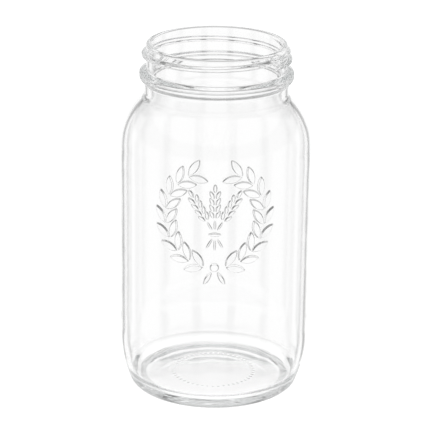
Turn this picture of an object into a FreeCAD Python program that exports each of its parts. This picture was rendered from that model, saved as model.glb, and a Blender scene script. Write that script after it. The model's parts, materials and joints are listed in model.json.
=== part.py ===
"""Wide-mouth glass preserving jar, modelled as the named zones of one blown glass wall.

Frame: +Z up along the jar's axis, origin at the middle of the ring it stands on, -Y is the front.
Millimetres and degrees.
"""
import FreeCAD, Part
import os
from math import acos, asin, cos, degrees, radians, sin, sqrt, tan

Vector = FreeCAD.Vector
UP = Vector(0, 0, 1)
ORIGIN = Vector(0, 0, 0)

# Overall sizes
total_height = 206.4
body_radius = 55.0
wall = 3.2

# Foot and heel
bearing_width = 3.0          # flat ring the jar stands on
heel_inset = 11.0            # wall to the outer edge of that ring
heel_sweep_radius = 80.0     # long inward sweep of the lower wall
heel_corner_radius = 6.4     # tight corner at the ring
push_up = 3.5                # hollow under the base, at its middle
floor_thickness = 3.0
inner_heel_radius = 8.0      # corner between the floor and the lower wall, inside

# Shoulder and neck
shoulder_radius = 40.0
neck_fillet = 6.0
neck_radius = 40.3           # outside of the mouth's wall
throat_step = 1.2            # plain neck, out from the mouth's wall
neck_length = 5.15           # plain neck between the shoulder and the bead
neck_wall = 2.9              # thickness round the mouth's straight bore

# Neck bead, made in two halves that meet at the mould's parting groove
bead_projection = 3.9        # bead's crest, out from the mouth's wall
bead_round = 2.6             # radius of the lower half's rounded edge and of its fillet
ledge_slope = 18.0           # upper half's top, down from the mouth's wall
ledge_edge_round = 1.2
ledge_fillet = 0.8           # where that top meets the wall
bead_land_upper = 1.0        # upright part of the bead above the groove
bead_land_lower = 0.8        # and below it
groove_depth = 0.6
groove_half_height = 0.5

# Screw thread: one ridge that climbs to the right
thread_height = 2.7
thread_base = 3.4
thread_crest = 1.2
thread_lead = 5.3            # climb in one turn
thread_sweep = 436.0         # whole run, with both faded ends
thread_run_in = 37.0         # angle over which the lower end rises
thread_run_out = 100.0       # and the upper end fades
thread_first_angle = -37.0   # where the lower end starts, seen from above, from +X
thread_step = 5.0            # angle between sections
thread_clearance = 3.73      # plain wall between the ridge and the bead
lip_clearance = 1.65         # plain wall between the ridge and the lip

# Raised medallion on the front: a laurel wreath round three ears of wheat
relief_height = 0.9
medallion_drop = 26.0        # its middle, below the start of the shoulder
wreath_radius = 28.5
wreath_gap_angle = 22.0      # half of the opening at the top, and of the one at the foot
leaf_pairs = 9               # on each branch
leaf_length = 11.5
leaf_width = 4.4
leaf_splay = 34.0            # leaf's turn away from its branch
leaf_offset = 3.4            # leaf's middle, from the branch
knot_width = 5.0             # round boss where the branches meet
ribbon_length = 9.0
ribbon_width = 2.6
ribbon_splay = 30.0          # ribbon end's turn away from straight down
ribbon_gap = 0.75            # knot to ribbon end
sheaf_drop = 9.0             # the sheaf's tie, below the medallion's middle
tie_length = 8.0
tie_width = 2.2
stalk_length_upper = 7.0
stalk_length_lower = 8.0
stalk_width = 1.2
ear_splay = 30.0             # outer ears' turn away from the middle one
ear_grain_pairs = 4
ear_spacing = 3.8
grain_length = 5.4
grain_width = 2.2
grain_splay = 24.0
grain_offset = 1.75

# Heights and radii that follow from the sizes above
mouth_radius = neck_radius - neck_wall
throat_radius = neck_radius + throat_step
bead_radius = neck_radius + bead_projection
lip_radius = neck_wall / 2
lip_start = total_height - lip_radius
thread_top = lip_start - lip_clearance - thread_base / 2
thread_full_sweep = thread_sweep - thread_run_in - thread_run_out
thread_foot = thread_top - thread_lead * thread_full_sweep / 360
bead_top = thread_foot - thread_base / 2 - thread_clearance


def ogee_rise(step, outer_round, inner_round):
    """Height of an S curve of two tangent arcs that steps in by the given amount."""
    reach = outer_round + inner_round
    return sqrt(reach ** 2 - (reach - step) ** 2)


ledge_turn = radians(90 - ledge_slope)
ledge_rounds = ledge_edge_round + ledge_fillet
ledge_run = bead_projection - ledge_rounds * (1 - cos(ledge_turn))
ledge_rise = ledge_rounds * sin(ledge_turn) + ledge_run * tan(radians(ledge_slope))
parting_height = bead_top - ledge_rise - bead_land_upper
throat_to_crest = bead_projection - throat_step
bead_foot = parting_height - bead_land_lower - ogee_rise(throat_to_crest, bead_round, bead_round)
neck_foot = bead_foot - neck_length
shoulder_rise = ogee_rise(body_radius - throat_radius, shoulder_radius, neck_fillet)
shoulder_start = neck_foot - shoulder_rise
shoulder_centre = body_radius - shoulder_radius
shoulder_turn = acos(1 - (body_radius - throat_radius) / (shoulder_radius + neck_fillet))

bearing_radius = body_radius - heel_inset
bearing_inner_radius = bearing_radius - bearing_width
heel_turn = acos((heel_sweep_radius - heel_inset) / (heel_sweep_radius - heel_corner_radius))
heel_top = heel_corner_radius + (heel_sweep_radius - heel_corner_radius) * sin(heel_turn)
floor_height = push_up + floor_thickness
inner_radius = body_radius - wall
inner_sweep_radius = heel_sweep_radius - wall
inner_corner_reach = inner_sweep_radius - inner_heel_radius
inner_heel_turn = asin((heel_top - floor_height - inner_heel_radius) / inner_corner_reach)
floor_radius = body_radius - heel_sweep_radius + inner_corner_reach * cos(inner_heel_turn)

inner_shoulder_radius = shoulder_radius - wall
bore_reach = mouth_radius - shoulder_centre
inner_neck_fillet = (
    (bore_reach ** 2 + shoulder_rise ** 2 - inner_shoulder_radius ** 2)
    / (2 * (inner_shoulder_radius - bore_reach))
)
medallion_height = shoulder_start - medallion_drop


def at(radius, height):
    """Point of the half section, which lies in the XZ plane."""
    return Vector(radius, 0, height)


def line(start, end):
    return Part.LineSegment(start, end).toShape()


def arc(centre, radius, first, last):
    """Arc of the half section between two angles from +X, in radians."""
    def point(angle):
        return centre + Vector(radius * cos(angle), 0, radius * sin(angle))
    return Part.Arc(point(first), point((first + last) / 2), point(last)).toShape()


def join(edges):
    """Edges in order, with straight runs added where one end stops short of the next."""
    whole = []
    for edge, following in zip(edges, edges[1:] + edges[:1]):
        whole.append(edge)
        end = edge.lastVertex(True).Point
        start = following.firstVertex(True).Point
        if end.distanceToPoint(start) > 1e-6:
            whole.append(line(end, start))
    return Part.Face(Part.Wire(whole))


def turned(face):
    return face.revolve(ORIGIN, UP, 360)


def disc(radius, low, high):
    return Part.makeCylinder(radius, high - low, at(0, low))


def ring(inner, outer, low, high):
    return disc(outer, low, high).cut(disc(inner, low, high))


quarter = radians(90)
half = radians(180)


def sweep_centre():
    """Middle of the heel's long sweep, inside and outside."""
    return at(body_radius - heel_sweep_radius, heel_top)


def foot_and_heel():
    """Underside from the axis, the standing ring, and the heel up to the straight wall."""
    dome_radius = (bearing_inner_radius ** 2 + push_up ** 2) / (2 * push_up)
    dome_turn = acos((dome_radius - push_up) / dome_radius)
    corner = at(bearing_radius, heel_corner_radius)
    return [
        arc(at(0, push_up - dome_radius), dome_radius, quarter, quarter - dome_turn),
        line(at(bearing_inner_radius, 0), at(bearing_radius, 0)),
        arc(corner, heel_corner_radius, -quarter, -heel_turn),
        arc(sweep_centre(), heel_sweep_radius, -heel_turn, 0),
    ]


def shoulder_outside():
    fillet = at(throat_radius + neck_fillet, neck_foot)
    return [
        arc(at(shoulder_centre, shoulder_start), shoulder_radius, 0, shoulder_turn),
        arc(fillet, neck_fillet, half + shoulder_turn, half),
    ]


def bead_outside():
    """Lower half, parting groove and upper half of the bead, from the neck up."""
    turn = acos(1 - throat_to_crest / (2 * bead_round))
    lower_fillet = at(throat_radius + bead_round, bead_foot)
    lower_edge = at(bead_radius - bead_round, parting_height - bead_land_lower)
    upper_edge = at(bead_radius - ledge_edge_round, parting_height + bead_land_upper)
    upper_fillet = at(neck_radius + ledge_fillet, bead_top)
    groove_floor = at(bead_radius - groove_depth, parting_height)
    groove_low = at(bead_radius, parting_height - groove_half_height)
    groove_high = at(bead_radius, parting_height + groove_half_height)
    return [
        arc(lower_fillet, bead_round, half, half - turn),
        arc(lower_edge, bead_round, -turn, 0),
        line(groove_low, groove_floor),
        line(groove_floor, groove_high),
        arc(upper_edge, ledge_edge_round, 0, ledge_turn),
        arc(upper_fillet, ledge_fillet, half + ledge_turn, half),
    ]


def lip_round():
    return [arc(at(mouth_radius + lip_radius, lip_start), lip_radius, 0, half)]


def inside():
    """Inner surface from the mouth down to the middle of the floor."""
    fillet = at(mouth_radius + inner_neck_fillet, neck_foot)
    shoulder = at(shoulder_centre, shoulder_start)
    turn = acos((mouth_radius + inner_neck_fillet - shoulder_centre)
                / (inner_shoulder_radius + inner_neck_fillet))
    corner = at(floor_radius, floor_height + inner_heel_radius)
    return [
        arc(fillet, inner_neck_fillet, half, half + turn),
        arc(shoulder, inner_shoulder_radius, turn, 0),
        arc(sweep_centre(), inner_sweep_radius, 0, -inner_heel_turn),
        arc(corner, inner_heel_radius, -inner_heel_turn, -quarter),
        line(at(floor_radius, floor_height), at(0, floor_height)),
    ]


def glass_wall():
    """The whole bare jar, without its thread and medallion."""
    outline = foot_and_heel() + shoulder_outside() + bead_outside() + lip_round() + inside()
    return turned(join(outline))


def thread_section(angle, size):
    """Cross-section of the ridge at an angle along its run, shrunk by size towards its ends."""
    turn = FreeCAD.Rotation(UP, thread_first_angle + angle)
    middle = thread_foot + thread_lead * (angle - thread_run_in) / 360
    sunk = neck_radius - neck_wall / 2
    crest = neck_radius + thread_height * size
    base = thread_base / 2 * size
    flat = thread_crest / 2 * size
    corners = [at(sunk, middle - base), at(neck_radius, middle - base), at(crest, middle - flat),
               at(crest, middle + flat), at(neck_radius, middle + base), at(sunk, middle + base)]
    return Part.makePolygon([turn.multVec(corner) for corner in corners + corners[:1]])


def screw_thread():
    """Ridge with faded ends, seated on the mouth's outer wall."""
    least = 0.05
    count = round(thread_sweep / thread_step)
    sections = []
    for index in range(count + 1):
        angle = thread_sweep * index / count
        fade = min(1.0, angle / thread_run_in, (thread_sweep - angle) / thread_run_out)
        sections.append(thread_section(angle, max(least, sin(quarter * fade))))
    ridge = Part.makeLoft(sections, True, True)
    return ridge.cut(disc(neck_radius, bead_foot, total_height))


def relief_band():
    """Thin layer on the outer wall and shoulder that the raised shapes are cut from."""
    centre = at(shoulder_centre, shoulder_start)
    outer = shoulder_radius + relief_height
    outline = [
        line(at(body_radius + relief_height, heel_top), at(body_radius + relief_height, shoulder_start)),
        arc(centre, outer, 0, shoulder_turn),
        arc(centre, shoulder_radius, shoulder_turn, 0),
        line(at(body_radius, shoulder_start), at(body_radius, heel_top)),
    ]
    return turned(join(outline))


def lens(band, across, up, length, width, lean):
    """One raised pointed oval. Across runs round the wall and lean turns it from upright, clockwise."""
    front = -(body_radius + 2 * relief_height)
    middle = Vector(0, front, medallion_height + up)
    along = Vector(sin(radians(lean)), 0, cos(radians(lean))) * (length / 2)
    aside = Vector(cos(radians(lean)), 0, -sin(radians(lean))) * (width / 2)
    outline = Part.Wire([
        Part.Arc(middle - along, middle + aside, middle + along).toShape(),
        Part.Arc(middle + along, middle - aside, middle - along).toShape(),
    ])
    prism = Part.Face(outline).extrude(Vector(0, body_radius / 2, 0))
    prism.rotate(ORIGIN, UP, degrees(across / body_radius))
    return prism.common(band)


def wreath_places():
    """Leaves, knot and ribbon ends, as (across, up, length, width, lean)."""
    places = [(0, -wreath_radius, knot_width, knot_width, 0)]
    run = 180 - 2 * wreath_gap_angle
    for side in (-1, 1):
        for pair in range(leaf_pairs):
            turn = wreath_gap_angle + run * pair / (leaf_pairs - 1)
            for row in (-1, 1):
                reach = wreath_radius + row * leaf_offset
                across = side * reach * sin(radians(turn))
                up = -reach * cos(radians(turn))
                lean = side * (90 - turn + row * leaf_splay)
                places.append((across, up, leaf_length, leaf_width, lean))
        hang = knot_width / 2 + ribbon_gap + ribbon_length / 2
        across = side * hang * sin(radians(ribbon_splay))
        up = -wreath_radius - hang * cos(radians(ribbon_splay))
        places.append((across, up, ribbon_length, ribbon_width, -side * ribbon_splay))
    return places


def ear_places(lean):
    """One ear of wheat with its stalk, leaning from the tie."""
    upper = tie_width + stalk_length_upper / 2
    lower = -tie_width - stalk_length_lower / 2
    ear_foot = tie_width + stalk_length_upper + grain_length / 2
    parts = [
        (upper, 0, stalk_length_upper, stalk_width, 0),
        (lower, 0, stalk_length_lower, stalk_width, 0),
        (ear_foot + ear_spacing * ear_grain_pairs, 0, grain_length, grain_width, 0),
    ]
    for pair in range(ear_grain_pairs):
        for side in (-1, 1):
            parts.append((ear_foot + ear_spacing * pair, side * grain_offset,
                          grain_length, grain_width, side * grain_splay))
    slope = radians(lean)
    return [(along * sin(slope) + aside * cos(slope),
             along * cos(slope) - aside * sin(slope) - sheaf_drop,
             length, width, lean + turn)
            for along, aside, length, width, turn in parts]


def sheaf_places():
    """Three ears and the tie that holds them."""
    places = [(0, -sheaf_drop, tie_length, tie_width, 90)]
    for ear in (-1, 0, 1):
        places += ear_places(ear * ear_splay)
    return places


def medallion():
    band = relief_band()
    solids = []
    for place in wreath_places() + sheaf_places():
        solids += lens(band, *place).Solids
    return Part.makeCompound(solids)


def zones():
    """The jar cut at its natural borders into closed solids that meet face to face."""
    glass = glass_wall()
    far = 2 * body_radius
    return {
        "base": glass.common(disc(bearing_inner_radius, 0, heel_top)),
        "heel": glass.common(ring(bearing_inner_radius, far, 0, heel_top)),
        "body_wall": glass.common(disc(far, heel_top, shoulder_start)),
        "shoulder": glass.common(disc(far, shoulder_start, neck_foot)),
        "neck": glass.common(disc(throat_radius, neck_foot, parting_height)),
        "lower_bead": glass.common(ring(throat_radius, far, neck_foot, parting_height)),
        "mouth_wall": glass.common(disc(neck_radius, parting_height, lip_start)),
        "upper_bead": glass.common(ring(neck_radius, far, parting_height, lip_start)),
        "sealing_lip": glass.common(disc(far, lip_start, total_height)),
    }


def main():
    os.makedirs("parts", exist_ok=True)
    nodes = zones()
    nodes["screw_thread"] = screw_thread()
    nodes["medallion"] = medallion()
    for name, shape in nodes.items():
        shape.exportStep(f"parts/{name}.step")
        valid = all(solid.isValid() for solid in shape.Solids)
        print(name, len(shape.Solids), "solids", round(shape.Volume / 1000, 2), "ml", "valid", valid)
    print("straight wall from", round(heel_top, 2), "to", round(shoulder_start, 2))
    print("neck foot", round(neck_foot, 2), "parting line", round(parting_height, 2),
          "bead top", round(bead_top, 2), "lip start", round(lip_start, 2))


main()
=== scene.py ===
# %% [markdown]
# # A wide-mouth glass preserving jar
# The jar is one piece of blown glass, so its look comes almost only from its shape: light bends at every
# curve of the wall. This lesson turns one half section into a closed glass wall, raises the screw thread
# and the wreath on it, gives it a clear glass finish and stands it in a plain white studio.

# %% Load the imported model
import json
from math import acos, asin, atan2, ceil, cos, degrees, hypot, pi, radians, sin, sqrt

import bmesh
import bpy
from mathutils import Matrix, Vector


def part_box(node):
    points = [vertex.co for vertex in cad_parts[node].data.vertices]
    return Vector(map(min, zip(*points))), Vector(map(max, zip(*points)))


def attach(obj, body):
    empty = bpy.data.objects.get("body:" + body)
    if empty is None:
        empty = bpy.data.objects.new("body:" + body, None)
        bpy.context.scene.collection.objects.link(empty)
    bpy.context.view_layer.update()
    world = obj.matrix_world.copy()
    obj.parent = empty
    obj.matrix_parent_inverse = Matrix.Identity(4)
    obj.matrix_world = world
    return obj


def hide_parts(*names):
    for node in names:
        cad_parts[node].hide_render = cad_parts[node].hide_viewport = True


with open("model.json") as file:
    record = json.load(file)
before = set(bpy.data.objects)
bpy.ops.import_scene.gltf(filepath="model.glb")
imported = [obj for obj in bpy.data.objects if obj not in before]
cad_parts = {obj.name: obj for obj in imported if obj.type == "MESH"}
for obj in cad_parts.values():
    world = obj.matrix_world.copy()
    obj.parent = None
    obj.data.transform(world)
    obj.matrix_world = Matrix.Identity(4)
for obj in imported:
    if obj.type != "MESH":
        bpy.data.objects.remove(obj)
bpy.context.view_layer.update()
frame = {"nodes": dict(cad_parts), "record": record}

mm = 0.001
print("solids in the frame:", sorted(frame["nodes"]))

# %% [markdown]
# ## Landmarks
# The solids already hold the jar's main sizes, so most radii and heights are read from their boxes. What
# a box can't tell, such as the wall's thickness and the radii of the curves, is written in the step that
# needs it.

# %% Radii and heights read from the solids
body_low, body_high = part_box("body_wall")
neck_low, neck_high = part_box("neck")
body_radius = body_high.x
wall_foot = body_low.z
shoulder_start = body_high.z
throat_radius = neck_high.x
neck_foot = neck_low.z
parting_height = neck_high.z
bead_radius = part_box("lower_bead")[1].x
bead_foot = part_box("lower_bead")[0].z
bead_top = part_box("upper_bead")[1].z
mouth_wall_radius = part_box("mouth_wall")[1].x
lip_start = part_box("sealing_lip")[0].z
ring_inner_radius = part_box("base")[1].x
mouth_bore = next(mount for mount in frame["record"]["mounts"] if mount["name"] == "mouth_bore")
mouth_radius = mouth_bore["dims"]["r_mm"] * mm
print("body", body_radius, "throat", throat_radius, "mouth", mouth_radius, "lip from", lip_start)

# %% [markdown]
# ## Half section
# A turned shape is drawn once, as a line in the XZ plane. A single vertex is carried along it: straight
# runs are extruded and cut into rows, and round runs are spun about the middle of their arc. Each run
# starts where the last one stopped, so the line can't come apart, and every arc keeps its true radius.

# %% Tools that draw the half section
section = bmesh.new()
quarter = pi / 2


def straight(start, radius, height, row):
    """Carry the line straight on to a radius and height, in rows of about the given length."""
    run = Vector((radius, 0, height)) - start.co
    rows = ceil(run.length / row)
    for _ in range(rows):
        made = bmesh.ops.extrude_vert_indiv(section, verts=[start])
        start = made["verts"][0]
        bmesh.ops.translate(section, verts=[start], vec=run / rows)
    return start


def bend(start, centre_radius, centre_height, turn, row):
    """Carry the line on along an arc. A positive turn is counterclockwise, seen from the front."""
    centre = Vector((centre_radius, 0, centre_height))
    rows = ceil(abs(turn) * (start.co - centre).length / row)
    made = bmesh.ops.spin(section, geom=[start], cent=centre, axis=(0, -1, 0), angle=turn, steps=rows)
    return next(item for item in made["geom_last"] if isinstance(item, bmesh.types.BMVert))


# %% [markdown]
# ### Foot and heel
# The jar stands on a narrow flat ring, so that it doesn't rock. Inside the ring the base is pushed up
# into a shallow dome, and outside it a tight corner and a long sweep lead up to the straight wall. The
# dome has finer rows where a ring of dots will be pushed out of it.

# %% Sizes of the foot and the heel
ring_width = 3.0 * mm
heel_sweep_radius = 80.0 * mm
heel_corner_radius = 6.4 * mm
push_up = 3.5 * mm
dot_ring_radius = 24.0 * mm
dot_length = 2.4 * mm

ring_radius = ring_inner_radius + ring_width
heel_inset = body_radius - ring_radius
heel_turn = acos((heel_sweep_radius - heel_inset) / (heel_sweep_radius - heel_corner_radius))
heel_top = heel_corner_radius + (heel_sweep_radius - heel_corner_radius) * sin(heel_turn)
sweep_centre = body_radius - heel_sweep_radius
dome_radius = (ring_inner_radius ** 2 + push_up ** 2) / (2 * push_up)
dome_centre = push_up - dome_radius
dome_turn = acos((dome_radius - push_up) / dome_radius)
dots_start = asin((dot_ring_radius - dot_length) / dome_radius)
dots_end = asin((dot_ring_radius + dot_length) / dome_radius)
print("standing ring", round(ring_radius / mm, 2), "mm, dome radius", round(dome_radius / mm, 2), "mm")

# %% Draw the foot and the heel
dome_row = 1.2 * mm
dot_row = 0.4 * mm
ring_row = 0.5 * mm
corner_row = 0.8 * mm
sweep_row = 1.6 * mm

pen = section.verts.new((0, 0, push_up))
pen = bend(pen, 0, dome_centre, -dots_start, dome_row)
pen = bend(pen, 0, dome_centre, dots_start - dots_end, dot_row)
pen = bend(pen, 0, dome_centre, dots_end - dome_turn, dome_row)
pen = straight(pen, ring_radius, 0, ring_row)
pen = bend(pen, ring_radius, heel_corner_radius, quarter - heel_turn, corner_row)
pen = bend(pen, sweep_centre, heel_top, heel_turn, sweep_row)
print("heel meets the wall at", round(pen.co.z / mm, 2), "mm, radius", round(pen.co.x / mm, 2), "mm")

# %% [markdown]
# ### Wall, shoulder and neck
# The wall goes straight up. The shoulder is one large arc, and a small fillet the other way turns it into
# the neck. The height where the shoulder's arc ends is kept, because the ornament must not reach past it.

# %% Draw the wall, the shoulder and the neck
shoulder_radius = 40.0 * mm
neck_fillet = 6.0 * mm
wall_row = 6.0 * mm
shoulder_row = 2.0 * mm
fillet_row = 0.8 * mm
neck_row = 2.0 * mm
shoulder_centre = body_radius - shoulder_radius
shoulder_turn = acos(1 - (body_radius - throat_radius) / (shoulder_radius + neck_fillet))

pen = straight(pen, body_radius, shoulder_start, wall_row)
pen = bend(pen, shoulder_centre, shoulder_start, shoulder_turn, shoulder_row)
shoulder_end = pen.co.z
pen = bend(pen, throat_radius + neck_fillet, neck_foot, -shoulder_turn, fillet_row)
pen = straight(pen, throat_radius, bead_foot, neck_row)
print("neck reached at radius", round(pen.co.x / mm, 2), "mm")

# %% [markdown]
# ### Neck bead
# The bead is a ring that a hand or a filling machine holds the jar by. Its lower half is round and its
# top is a sloping ledge that stops the cap. The mould is made of two parts that meet here, and leave a
# fine groove round it.

# %% Sizes of the bead
bead_round = 2.6 * mm
bead_land_lower = 0.8 * mm
bead_land_upper = 1.0 * mm
groove_depth = 0.6 * mm
groove_half_height = 0.5 * mm
ledge_slope = radians(18)
ledge_edge_round = 1.2 * mm
ledge_fillet = 0.8 * mm

bead_turn = acos(1 - (bead_radius - throat_radius) / (2 * bead_round))
ledge_turn = quarter - ledge_slope
land_foot = parting_height - bead_land_lower
land_top = parting_height + bead_land_upper
ledge_end_radius = mouth_wall_radius + ledge_fillet * (1 - cos(ledge_turn))
ledge_end_height = bead_top - ledge_fillet * sin(ledge_turn)
print("upright part of the bead:", round((land_top - land_foot) / mm, 2), "mm")

# %% Draw the bead with its parting groove
bead_row = 0.4 * mm
ledge_row = 0.25 * mm

pen = bend(pen, throat_radius + bead_round, bead_foot, -bead_turn, bead_row)
pen = bend(pen, bead_radius - bead_round, land_foot, bead_turn, bead_row)
pen = straight(pen, bead_radius, parting_height - groove_half_height, bead_row)
pen = straight(pen, bead_radius - groove_depth, parting_height, bead_row)
pen = straight(pen, bead_radius, parting_height + groove_half_height, bead_row)
pen = straight(pen, bead_radius, land_top, bead_row)
pen = bend(pen, bead_radius - ledge_edge_round, land_top, ledge_turn, ledge_row)
pen = straight(pen, ledge_end_radius, ledge_end_height, bead_row)
pen = bend(pen, mouth_wall_radius + ledge_fillet, bead_top, -ledge_turn, ledge_row)
print("bead ends at", round(pen.co.z / mm, 2), "mm")

# %% [markdown]
# ### Mouth, lip and inside
# Above the bead a plain upright wall will carry the thread, so its rows are close together. The lip is a
# half round. From there the line goes down the bore and follows the outside at the wall's thickness, to
# the middle of the floor.

# %% Sizes of the lip and the inside
wall = 3.2 * mm
floor_thickness = 3.0 * mm
inner_heel_radius = 8.0 * mm

lip_radius = (mouth_wall_radius - mouth_radius) / 2
inner_radius = body_radius - wall
inner_shoulder_radius = shoulder_radius - wall
bore_reach = mouth_radius - shoulder_centre
shoulder_rise = neck_foot - shoulder_start
inner_neck_fillet = (
    (bore_reach ** 2 + shoulder_rise ** 2 - inner_shoulder_radius ** 2)
    / (2 * (inner_shoulder_radius - bore_reach))
)
inner_turn = acos((bore_reach + inner_neck_fillet) / (inner_shoulder_radius + inner_neck_fillet))
floor_height = push_up + floor_thickness
corner_height = floor_height + inner_heel_radius
corner_reach = heel_sweep_radius - wall - inner_heel_radius
inner_heel_turn = asin((heel_top - corner_height) / corner_reach)
floor_radius = sweep_centre + corner_reach * cos(inner_heel_turn)
print("inner fillet under the mouth:", round(inner_neck_fillet / mm, 2), "mm")

# %% Draw the mouth, the lip and the inside
thread_row = 0.28 * mm
lip_row = 0.35 * mm
bore_row = 4.0 * mm
inner_fillet_row = 1.2 * mm
inside_row = 2.2 * mm
inside_wall_row = 28.0 * mm
inner_corner_row = 0.8 * mm

pen = straight(pen, mouth_wall_radius, lip_start, thread_row)
pen = bend(pen, mouth_radius + lip_radius, lip_start, pi, lip_row)
pen = straight(pen, mouth_radius, neck_foot, bore_row)
pen = bend(pen, mouth_radius + inner_neck_fillet, neck_foot, inner_turn, inner_fillet_row)
pen = bend(pen, shoulder_centre, shoulder_start, -inner_turn, inside_row)
pen = straight(pen, inner_radius, heel_top, inside_wall_row)
pen = bend(pen, sweep_centre, heel_top, -inner_heel_turn, inside_row)
pen = bend(pen, floor_radius, corner_height, inner_heel_turn - quarter, inner_corner_row)
pen = straight(pen, 0, floor_height, inside_row)
print("rows in the half section:", len(section.edges))

# %% [markdown]
# ## Turning the wall
# One full spin makes the whole glass wall, inside and outside at once. The spin is merged where it
# closes, the points on the axis are merged into poles, and only then are the normals set to point out of
# the glass.

# %% Spin the half section
columns = 240
merge_distance = 0.001 * mm
jar = section
bmesh.ops.spin(jar, geom=jar.verts[:] + jar.edges[:], cent=(0, 0, 0), axis=(0, 0, 1),
               angle=2 * pi, steps=columns, use_merge=True)
bmesh.ops.remove_doubles(jar, verts=jar.verts, dist=merge_distance)
bmesh.ops.recalc_face_normals(jar, faces=jar.faces)
jar.normal_update()
print("turned wall:", len(jar.faces), "faces, closed", all(edge.is_manifold for edge in jar.edges))

# %% [markdown]
# ## Dots under the base
# The mould's bottom plate leaves a ring of small raised dots under the base. Each is a low bump, half as
# long again as it is wide, pushed down out of the underside.

# %% Push out the dots
dot_count = 48
dot_height = 0.35 * mm

pushed = 0
for point in jar.verts:
    off_ring = abs(hypot(point.co.x, point.co.y) - dot_ring_radius) / (dot_length / 2)
    if off_ring < 1 and point.co.z < push_up:
        swell = max(0.0, cos(dot_count * atan2(point.co.y, point.co.x)))
        point.co.z -= dot_height * swell * (1 - off_ring ** 2)
        pushed += 1
print("points in the ring of dots:", pushed)

# %% [markdown]
# ## Screw thread
# One ridge climbs to the right round the mouth for a little more than a turn, and fades at both ends so
# that a cap can find it. The mouth's outer rows are fine enough to be pushed out by a formula: how far a
# point lies above or below the middle of the ridge, at its angle, says how far out it goes.

# %% Sizes of the thread, with angles in degrees
thread_height = 2.7 * mm
thread_base = 3.4 * mm
thread_crest = 1.2 * mm
thread_lead = 5.3 * mm
thread_sweep = 436.0
thread_run_in = 37.0
thread_run_out = 100.0
thread_first_angle = -37.0
lip_clearance = 1.65 * mm

thread_flank = (thread_base - thread_crest) / 2
thread_top = lip_start - lip_clearance - thread_base / 2
thread_foot = thread_top - thread_lead * (thread_sweep - thread_run_in - thread_run_out) / 360
print("middle of the ridge from", round(thread_foot / mm, 2), "to", round(thread_top / mm, 2), "mm")

# %% Raise the screw thread
least_fade = 0.05
tolerance = 0.01 * mm


def smooth_step(value):
    """A value held between 0 and 1, with soft ends."""
    value = min(1.0, max(0.0, value))
    return value * value * (3 - 2 * value)


def thread_rise(angle, height):
    """How far the ridge stands out at an angle in degrees from +X and a height."""
    rise = 0.0
    along = (angle - thread_first_angle) % 360
    while along <= thread_sweep:
        fade = sin(quarter * min(1.0, along / thread_run_in, (thread_sweep - along) / thread_run_out))
        middle = thread_foot + thread_lead * (along - thread_run_in) / 360
        inside = thread_base / 2 - abs(height - middle) / max(fade, least_fade)
        rise = max(rise, thread_height * fade * smooth_step(inside / thread_flank))
        along += 360
    return rise


raised = 0
for point in jar.verts:
    radius = hypot(point.co.x, point.co.y)
    if bead_top < point.co.z < lip_start and radius > mouth_wall_radius - tolerance:
        angle = degrees(atan2(point.co.y, point.co.x))
        scale = 1 + thread_rise(angle, point.co.z) / radius
        point.co.x *= scale
        point.co.y *= scale
        raised += 1
print("points on the threaded wall:", raised)

# %% [markdown]
# ## Raised wreath
# The front carries a moulded ornament: two laurel branches, tied at the foot, round a sheaf of three ears
# of wheat. Leaves, grains, stalks and ribbon ends are all pointed ovals of different sizes, so one list
# of places and one height formula make the whole design, and loops fill the list. A place is the oval's
# middle across and up, its length and width, and its lean from upright.

# %% Places of the leaves, the knot and the ribbon
wreath_radius = 28.5 * mm
wreath_gap = radians(22)
leaf_pairs = 9
leaf_size = (11.5 * mm, 4.4 * mm)
leaf_splay = radians(34)
leaf_offset = 3.4 * mm
knot_size = (5.0 * mm, 5.0 * mm)
ribbon_size = (9.0 * mm, 2.6 * mm)
ribbon_splay = radians(30)
ribbon_gap = 0.75 * mm

ovals = [(0, -wreath_radius, *knot_size, 0)]
for side in (-1, 1):
    for pair in range(leaf_pairs):
        turn = wreath_gap + (pi - 2 * wreath_gap) * pair / (leaf_pairs - 1)
        for row in (-1, 1):
            reach = wreath_radius + row * leaf_offset
            lean = side * (quarter - turn + row * leaf_splay)
            ovals.append((side * reach * sin(turn), -reach * cos(turn), *leaf_size, lean))
    hang = knot_size[0] / 2 + ribbon_gap + ribbon_size[0] / 2
    across = side * hang * sin(ribbon_splay)
    ovals.append((across, -wreath_radius - hang * cos(ribbon_splay), *ribbon_size, -side * ribbon_splay))
print("ovals in the wreath:", len(ovals))

# %% Places of the ears of wheat
sheaf_drop = 9.0 * mm
tie_size = (8.0 * mm, 2.2 * mm)
upper_stalk = (7.0 * mm, 1.2 * mm)
lower_stalk = (8.0 * mm, 1.2 * mm)
ear_splay = radians(30)
grain_pairs = 4
grain_spacing = 3.8 * mm
grain_size = (5.4 * mm, 2.2 * mm)
grain_splay = radians(24)
grain_offset = 1.75 * mm

ear_foot = tie_size[1] + upper_stalk[0] + grain_size[0] / 2
ear = [
    (tie_size[1] + upper_stalk[0] / 2, 0, upper_stalk, 0),
    (-tie_size[1] - lower_stalk[0] / 2, 0, lower_stalk, 0),
    (ear_foot + grain_spacing * grain_pairs, 0, grain_size, 0),
]
for pair in range(grain_pairs):
    for side in (-1, 1):
        ear.append((ear_foot + grain_spacing * pair, side * grain_offset, grain_size, side * grain_splay))

ovals.append((0, -sheaf_drop, *tie_size, quarter))
for lean in (-ear_splay, 0, ear_splay):
    for along, aside, size, turn in ear:
        across = along * sin(lean) + aside * cos(lean)
        up = along * cos(lean) - aside * sin(lean) - sheaf_drop
        ovals.append((across, up, *size, lean + turn))
print("ovals in the whole ornament:", len(ovals))

# %% [markdown]
# ### Where the ornament lies on the wall
# The flat design is wrapped round the jar: its across is a way round the wall from the front, and its up
# is a height. These helpers say how deep a point lies in the nearest oval, and whether it is on the outer
# side.

# %% Tools that place the ornament on the wall
medallion_drop = 26.0 * mm
medallion_height = shoulder_start - medallion_drop


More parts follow.
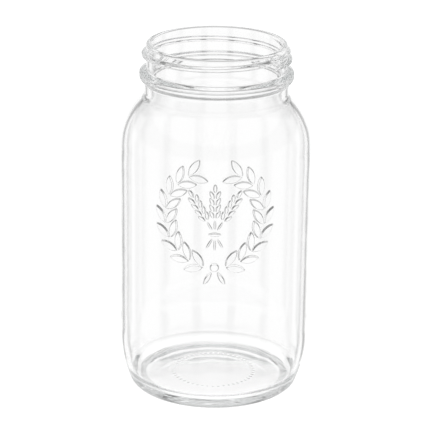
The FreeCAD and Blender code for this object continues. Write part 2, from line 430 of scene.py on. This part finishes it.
def depth_in_oval(across, up, oval):
    """How far a point lies inside an oval made of two arcs, or below zero outside it."""
    middle_across, middle_up, length, width, lean = oval
    aside = across - middle_across
    above = up - middle_up
    if max(abs(aside), abs(above)) > length:
        return -length
    along = aside * sin(lean) + above * cos(lean)
    off = aside * cos(lean) - above * sin(lean)
    arc_radius = (length ** 2 + width ** 2) / (4 * width)
    return arc_radius - hypot(along, abs(off) + arc_radius - width / 2)


def deepest(co):
    """How far a point lies inside the oval that holds it best, or below zero outside them all."""
    across = body_radius * atan2(co.x, -co.y)
    up = co.z - medallion_height
    return max(depth_in_oval(across, up, oval) for oval in ovals)


def outside_radius(height):
    """Radius of the plain wall or shoulder at a height."""
    rise = max(0.0, height - shoulder_start)
    return shoulder_centre + sqrt(shoulder_radius ** 2 - rise ** 2)


def is_outside(co):
    """True on the outer side of the wall and of the shoulder's arc."""
    return wall_foot < co.z < shoulder_end and hypot(co.x, co.y) > outside_radius(co.z) - wall / 4


# %% [markdown]
# ### Finer faces under the ornament
# The plain wall has large faces, which is all a smooth cylinder needs. Only the faces that the ornament
# touches are cut finer, upright edges first and level edges next.

# %% Cut the wall finer under the ornament
cell = 0.4 * mm
upright_margin = 4.0 * mm
level_margin = 1.4 * mm


def touched_faces(margin):
    """Faces of the front's outer side that lie in the ornament or within a margin of it."""
    touched = []
    for face in jar.faces:
        middle = face.calc_center_median()
        if middle.y < 0 and is_outside(middle) and deepest(middle) > -margin:
            touched.append(face)
    return touched


def cut_edges(faces, upright):
    """Cut the upright or the level edges of some faces into pieces of about one cell."""
    edges = dict.fromkeys(edge for face in faces for edge in face.edges)
    by_cuts = {}
    for edge in edges:
        step = edge.verts[0].co - edge.verts[1].co
        if (abs(step.z) > hypot(step.x, step.y)) == upright:
            by_cuts.setdefault(round(step.length / cell) - 1, []).append(edge)
    for cuts, group in by_cuts.items():
        if cuts > 0:
            bmesh.ops.subdivide_edges(jar, edges=group, cuts=cuts, use_grid_fill=True)


cut_edges(touched_faces(upright_margin), upright=True)
cut_edges(touched_faces(level_margin), upright=False)
print("faces after the finer cuts:", len(jar.faces))

# %% [markdown]
# ### Rounded relief
# Every point of the front's outer side is set back on the true curve of the wall. Inside an oval it is
# then moved straight out, by a height that rises from the oval's edge like a quarter circle, so that the
# leaves and grains have round edges.

# %% Raise the ornament
relief_height = 0.9 * mm
relief_edge = 0.9 * mm

lifted = 0
for point in jar.verts:
    if point.co.y < 0 and is_outside(point.co):
        radius = hypot(point.co.x, point.co.y)
        true_radius = outside_radius(point.co.z)
        depth = deepest(point.co) / relief_edge
        rise = 0.0
        if depth > 0:
            rise = relief_height * sqrt(1 - (1 - min(depth, 1.0)) ** 2)
            lifted += 1
        slope = (true_radius - shoulder_centre) / shoulder_radius
        scale = (true_radius + rise * slope) / radius
        point.co.x *= scale
        point.co.y *= scale
        point.co.z += rise * sqrt(1 - slope ** 2)
print("points raised for the ornament:", lifted)

# %% [markdown]
# ## The jar as one piece
# The finished mesh becomes one object at the origin. It rides on the frame's only body and stands for all
# the solids of the glass wall.

# %% Make the jar's object
mesh = bpy.data.meshes.new("jar_glass")
jar.normal_update()
jar.to_mesh(mesh)
jar.free()
mesh.shade_smooth()
jar_glass = bpy.data.objects.new("jar_glass", mesh)
bpy.context.scene.collection.objects.link(jar_glass)
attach(jar_glass, "root")
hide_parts(*sorted(frame["nodes"]))
mesh.calc_loop_triangles()
print("jar_glass:", len(mesh.loop_triangles), "triangles")

# %% [markdown]
# ## Shader maths
# Node trees are easier to read as sums. This small class wraps a socket, so that Python's operators add
# Math nodes, and one method makes every other node from its type, its settings and its sockets.


# %% A socket that can be calculated with
class Signal:
    """A socket of a node tree, with operators that add Math nodes."""

    def __init__(self, tree, socket=None):
        self.tree = tree
        self.socket = socket

    def make(self, kind, settings=None, sockets=None, output=0):
        """Any node, from its type, its settings and the values or links of its sockets."""
        node = self.tree.nodes.new(kind)
        for name, value in (settings or {}).items():
            setattr(node, name, value)
        for name, value in (sockets or {}).items():
            if isinstance(value, Signal):
                self.tree.links.new(value.socket, node.inputs[name])
            else:
                node.inputs[name].default_value = value
        return Signal(self.tree, node.outputs[output] if node.outputs else None)

    def maths(self, operation, first, second=0.0):
        return self.make("ShaderNodeMath", {"operation": operation}, {0: first, 1: second})

    def __add__(self, other):
        return self.maths("ADD", self, other)

    def __radd__(self, other):
        return self.maths("ADD", other, self)

    def __sub__(self, other):
        return self.maths("SUBTRACT", self, other)

    def __rsub__(self, other):
        return self.maths("SUBTRACT", other, self)

    def __mul__(self, other):
        return self.maths("MULTIPLY", self, other)

    def __rmul__(self, other):
        return self.maths("MULTIPLY", other, self)


# %% Tools for shading
# Outputs of the Texture Coordinate node
generated = 0
object_place = 3

white_colour = (1.0, 1.0, 1.0, 1.0)


def new_tree(owner):
    """An empty node tree for a material or the world."""
    owner.use_nodes = True
    owner.node_tree.nodes.clear()
    return Signal(owner.node_tree)


def coordinates(tree, output):
    """The three parts of one kind of texture coordinate, and the coordinate itself."""
    place = tree.make("ShaderNodeTexCoord", output=output)
    parts = [tree.make("ShaderNodeSeparateXYZ", None, {0: place}, output=axis) for axis in range(3)]
    return (*parts, place)


def smooth_range(value, low, high):
    """0 up to low, 1 from high on, with a soft step between."""
    return value.make("ShaderNodeMapRange", {"interpolation_type": "SMOOTHSTEP"},
                      {"Value": value, "From Min": low, "From Max": high})


def band(value, low, high, edge):
    """1 between two values, with soft edges."""
    return smooth_range(value, low - edge, low) - smooth_range(value, high, high + edge)


def light_path(tree, *names):
    """At least 1 for a ray of any of the named kinds, else 0."""
    node = tree.make("ShaderNodeLightPath").socket.node
    return sum(Signal(tree.tree, node.outputs[name]) for name in names)


# %% [markdown]
# ## Clear glass
# Soda-lime glass is almost colourless, and what tints it is depth, so the surface stays white and a plain
# absorption fills the inside. The mould leaves its marks: a faint ripple all over, waves where the glass
# was still soft at the foot and fine ribs on the ring that the jar stands on. They are all shallow, so
# one bump carries them, as heights in millimetres.

# %% Marks that the mould leaves
ripple_scale = 60.0
ripple_height = 0.04
wave_scale = 45.0
wave_height = 0.6
waves_full = 10.0 * mm
waves_end = 34.0 * mm
rib_count = 150
rib_height = 0.08
ribs_inner = 41.0 * mm
ribs_outer = 45.5 * mm
ribs_edge = 0.8 * mm
ribs_full = 1.0 * mm
ribs_end = 2.0 * mm

glass = bpy.data.materials.new("clear_glass")
tree = new_tree(glass)
east, north, height, place = coordinates(tree, object_place)
reach = tree.maths("SQRT", east * east + north * north)
azimuth = tree.maths("ARCTAN2", north, east)
ripple = tree.make("ShaderNodeTexNoise", None, {"Vector": place, "Scale": ripple_scale, "Detail": 1.0})
at_foot = 1 - smooth_range(height, waves_full, waves_end)
waves = tree.make("ShaderNodeTexNoise", None, {"Vector": place, "Scale": wave_scale, "Detail": 1.0}) * at_foot
on_ring = band(reach, ribs_inner, ribs_outer, ribs_edge)
near_ground = 1 - smooth_range(height, ribs_full, ribs_end)
ribs = tree.maths("COSINE", rib_count * azimuth) * on_ring * near_ground
marks = ripple_height * ripple + wave_height * waves + rib_height * ribs
normal = tree.make("ShaderNodeBump", None, {"Strength": 1.0, "Distance": 1.0 * mm, "Height": marks})
print("ribs on the ring:", rib_count)

# %% Make the glass
glass_ior = 1.5
tint_colour = (0.89, 0.90, 0.90, 1.0)
tint_density = 8.0

surface = tree.make("ShaderNodeBsdfPrincipled", None, {
    "Base Color": white_colour,
    "Roughness": 0.0,
    "IOR": glass_ior,
    "Transmission Weight": 1.0,
    "Normal": normal,
})
depth_tint = tree.make("ShaderNodeVolumeAbsorption", None, {"Color": tint_colour, "Density": tint_density})
tree.make("ShaderNodeOutputMaterial", None, {"Surface": surface, "Volume": depth_tint})
mesh.materials.append(glass)
print("glass material:", glass.name)

# %% [markdown]
# ## Studio
# Clear glass has no colour of its own, so its edges show only where they bend light from something
# darker. A studio for glass is white behind the object, with grey panels outside the picture. Here white
# windows and grey panels alternate all round, so that the jar reads much the same from every side. A grey
# belt crosses them high up and another low down, and the ceiling is white. Heights in the studio are the
# upward part of a ray's direction, from -1 straight down to 1 straight up. The camera itself and mirror
# reflections on the glass see plain white in place of all this. A ray bent by glass counts as glossy and
# as transmitted, so a mirror reflection is a ray that is glossy and not transmitted.

# %% Tones and borders in the studio
windows = 8
window_edge = (-1.0, -0.45)
panel_tone = 0.3
high_belt_depth = 0.65
high_belt_span = (0.14, 0.45)
high_belt_edge = 0.1
low_belt_depth = 0.45
low_belt_span = (-0.78, -0.54)
low_belt_edge = 0.07
low_panel_depth = 0.4
low_panel_edge = (-0.5, 0.1)
ceiling_edge = (0.45, 0.55)
print("windows round the studio:", windows)

# %% World of white windows and grey panels
world = bpy.data.worlds.new("studio")
bpy.context.scene.world = world
tree = new_tree(world)
east, north, up, _ = coordinates(tree, generated)
azimuth = tree.maths("ARCTAN2", east, north)
window = smooth_range(tree.maths("COSINE", windows * azimuth), *window_edge)
walls = panel_tone + (1 - panel_tone) * window
high_belt = high_belt_depth * band(up, *high_belt_span, high_belt_edge)
low_panel = 1 - smooth_range(tree.maths("COSINE", windows / 2 * azimuth), *low_panel_edge)
low_belt = (low_belt_depth + low_panel_depth * low_panel) * band(up, *low_belt_span, low_belt_edge)
room = walls * (1 - high_belt) * (1 - low_belt)
mirrored = light_path(tree, "Is Glossy Ray") * (1 - light_path(tree, "Is Transmission Ray"))
plain = light_path(tree, "Is Camera Ray") + mirrored
white = tree.maths("MAXIMUM", smooth_range(up, *ceiling_edge), plain)
strength = room + white * (1 - room)
sky = tree.make("ShaderNodeBackground", None, {"Color": white_colour, "Strength": strength})
tree.make("ShaderNodeOutputWorld", None, {"Surface": sky})
print("world:", world.name)

# %% [markdown]
# ## Floor
# The floor glows almost white, so that it melts into the background, and its grey paper adds the rest
# where the studio's light reaches it, so that the jar keeps a faint shadow. A ray that has met the glass
# sees the floor only near the jar. Farther out the floor lets it through, to the studio below.

# %% Floor that keeps the jar's shadow
floor_half = 3.0
floor_drop = 0.1 * mm

plane = bmesh.new()
bmesh.ops.create_grid(plane, x_segments=1, y_segments=1, size=floor_half)
bmesh.ops.translate(plane, verts=plane.verts, vec=(0, 0, -floor_drop))
floor_mesh = bpy.data.meshes.new("floor")
plane.to_mesh(floor_mesh)
plane.free()
floor = bpy.data.objects.new("floor", floor_mesh)
bpy.context.scene.collection.objects.link(floor)
print("floor:", 2 * floor_half, "m wide")

# %% White of the floor
paper_colour = (0.25, 0.25, 0.25, 1.0)
glow_strength = 0.96
clear_from = 50.0 * mm
clear_beyond = 90.0 * mm

floor_white = bpy.data.materials.new("floor_white")
tree = new_tree(floor_white)
east, north, _, _ = coordinates(tree, object_place)
reach = tree.maths("SQRT", east * east + north * north)
paper = tree.make("ShaderNodeBsdfDiffuse", None, {"Color": paper_colour})
glow = tree.make("ShaderNodeEmission", None, {"Color": white_colour, "Strength": glow_strength})
lit = tree.make("ShaderNodeAddShader", None, {0: paper, 1: glow})
clear = tree.make("ShaderNodeBsdfTransparent")
far_off = smooth_range(reach, clear_from, clear_beyond)
through = light_path(tree, "Is Glossy Ray", "Is Transmission Ray") * far_off
shown = tree.make("ShaderNodeMixShader", None, {0: through, 1: lit, 2: clear})
tree.make("ShaderNodeOutputMaterial", None, {"Surface": shown})
floor_mesh.materials.append(floor_white)
print("floor material:", floor_white.name)

# %% [markdown]
# ## Camera
# The picture is taken with a long lens from a little above, so the mouth shows as a flat ellipse and the
# sides stay almost parallel. The camera leans by less than a degree, as a camera held in the hand does.

# %% Camera
camera_place = Vector((0, -1169.6 * mm, 508.75 * mm))
camera_pitch = radians(19.15)
camera_roll = 0.0124
sensor_width = 36.0
focal_length = 177.6

camera_data = bpy.data.cameras.new("camera")
camera_data.sensor_width = sensor_width
camera_data.lens = focal_length
camera = bpy.data.objects.new("camera", camera_data)
camera.matrix_world = (
    Matrix.Translation(camera_place)
    @ Matrix.Rotation(quarter - camera_pitch, 4, "X")
    @ Matrix.Rotation(camera_roll, 4, "Z")
)
bpy.context.scene.collection.objects.link(camera)
bpy.context.scene.camera = camera
bpy.context.scene.view_settings.view_transform = "Standard"
print("camera lens:", focal_length, "mm")

# %% [markdown]
# ## Light paths
# Light crosses the wall several times and can be caught inside it for many turns. A ray that is dropped
# too early leaves a black edge, so the paths are allowed to be long.

# %% Light paths long enough for thick glass
longest_path = 200
light = bpy.context.scene.cycles
light.max_bounces = longest_path
light.glossy_bounces = longest_path
light.transmission_bounces = longest_path
print("bounces:", longest_path)
